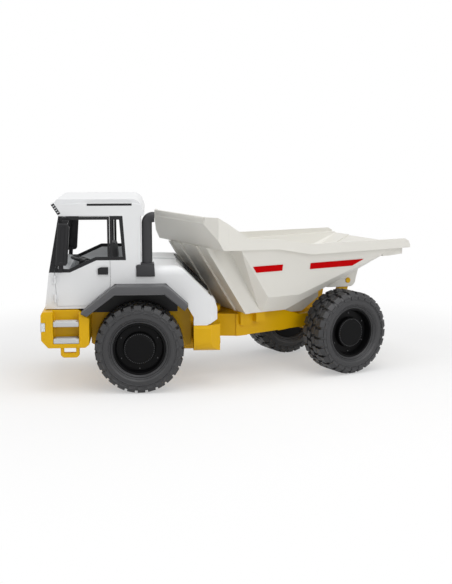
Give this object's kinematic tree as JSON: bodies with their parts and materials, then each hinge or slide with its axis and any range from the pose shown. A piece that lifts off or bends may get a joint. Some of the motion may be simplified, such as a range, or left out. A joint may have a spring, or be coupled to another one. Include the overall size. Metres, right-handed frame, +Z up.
{
  "type": "toy articulated dump truck",
  "caption": "Toy articulated dump truck with a hinged frame, opening cab doors, turning wheels and a tipping bed with a front canopy.",
  "frame": {"origin": "middle of the turned truck's footprint, on the ground under the wheels", "axes": "+X towards the cab's front, +Y to the cab's left, +Z up"},
  "size_m": [0.464, 0.2822, 0.2269],
  "materials": {
    "yellow_plastic": "satin",
    "steel": "satin",
    "silver_plastic": "satin",
    "lamp_lens": "gloss",
    "clear_screen": "gloss",
    "white_plastic": "satin",
    "black_plastic": "matte",
    "dark_grey_plastic": "matte",
    "pale_grey_plastic": "matte",
    "red_decal": "satin",
    "tyre_rubber": "matte",
    "rim_plastic": "matte"
  },
  "bodies": {
    "front_unit": {"front_chassis": "yellow_plastic", "front_axle": "steel", "articulation_pin": "steel", "bumper": "yellow_plastic", "steps": "silver_plastic", "headlamps": "lamp_lens", "cab_shell": "white_plastic", "cab_roof": "white_plastic", "roof_trim": "black_plastic", "visor_band": "black_plastic", "roof_lamps": "lamp_lens", "window_frame": "black_plastic", "windscreen": "clear_screen", "cab_interior": "pale_grey_plastic", "seat": "dark_grey_plastic", "steering_wheel": "black_plastic", "engine_cover": "white_plastic", "engine_grille": "black_plastic", "air_stack": "dark_grey_plastic", "fenders": "dark_grey_plastic", "side_tanks": "yellow_plastic"},
    "door_left": {"door_left_panel": "white_plastic", "door_left_frame": "black_plastic", "door_left_handle": "black_plastic", "mirror_left": "black_plastic"},
    "door_right": {"door_right_panel": "white_plastic", "door_right_frame": "black_plastic", "door_right_handle": "black_plastic", "mirror_right": "black_plastic"},
    "rear_unit": {"rear_frame": "yellow_plastic", "rear_axle": "steel", "tipping_pin": "yellow_plastic"},
    "bed": {"bed_shell": "white_plastic", "bed_ears": "white_plastic", "bed_stripes": "red_decal"},
    "wheel_front_left": {"tyre_front_left": "tyre_rubber", "rim_front_left": "rim_plastic"},
    "wheel_front_right": {"tyre_front_right": "tyre_rubber", "rim_front_right": "rim_plastic"},
    "wheel_rear_left": {"tyre_rear_left": "tyre_rubber", "rim_rear_left": "rim_plastic"},
    "wheel_rear_right": {"tyre_rear_right": "tyre_rubber", "rim_rear_right": "rim_plastic"}
  },
  "joints": [
    {"name": "articulation", "type": "hinge", "parent": "front_unit", "child": "rear_unit", "pos_m": [0.03305, 0.0471, 0.065], "axis": [0, 0, 1], "range_deg": [-53, 1]},
    {"name": "bed_tip", "type": "hinge", "parent": "rear_unit", "child": "bed", "pos_m": [-0.13862, -0.03663, 0.111], "axis": [0.4384, -0.8988, 0], "range_deg": [0, 58]},
    {"name": "door_left_swing", "type": "hinge", "parent": "front_unit", "child": "door_left", "pos_m": [0.21555, 0.1207, 0.15], "axis": [0, 0, -1], "range_deg": [0, 65]},
    {"name": "door_right_swing", "type": "hinge", "parent": "front_unit", "child": "door_right", "pos_m": [0.21555, -0.0265, 0.15], "axis": [0, 0, 1], "range_deg": [0, 65]},
    {"name": "spin_front_left", "type": "hinge", "parent": "front_unit", "child": "wheel_front_left", "pos_m": [0.11805, 0.11885, 0.0525], "axis": [0, 1, 0], "continuous": true},
    {"name": "spin_front_right", "type": "hinge", "parent": "front_unit", "child": "wheel_front_right", "pos_m": [0.11805, -0.02465, 0.0525], "axis": [0, 1, 0], "continuous": true},
    {"name": "spin_rear_left", "type": "hinge", "parent": "rear_unit", "child": "wheel_rear_left", "pos_m": [-0.14221, 0.04145, 0.0525], "axis": [-0.4384, 0.8988, 0], "continuous": true},
    {"name": "spin_rear_right", "type": "hinge", "parent": "rear_unit", "child": "wheel_rear_right", "pos_m": [-0.07931, -0.08753, 0.0525], "axis": [-0.4384, 0.8988, 0], "continuous": true}
  ]
}
